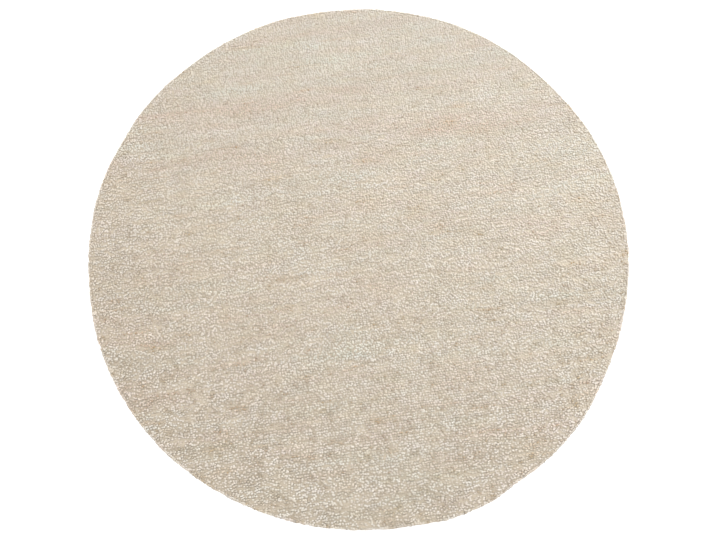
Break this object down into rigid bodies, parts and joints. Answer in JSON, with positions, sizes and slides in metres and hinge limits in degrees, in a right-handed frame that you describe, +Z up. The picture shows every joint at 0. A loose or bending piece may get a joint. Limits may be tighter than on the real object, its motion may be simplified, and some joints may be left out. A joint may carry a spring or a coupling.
{
  "type": "round boucle rug",
  "caption": "Round flat wool rug with a low boucle loop pile in close rows, a rounded rim and a slightly uneven hand-cut outline.",
  "frame": {"origin": "middle of the rug's outline, on the floor under it", "axes": "+Z up through the pile, +X along the rows of loops"},
  "size_m": [2.0002, 1.9944, 0.013],
  "materials": {
    "wool": "undyed oatmeal wool boucle loops, matt, with faint tan and ivory streaks along the rows"
  },
  "bodies": {
    "root": {"rug": "wool"}
  },
  "joints": []
}
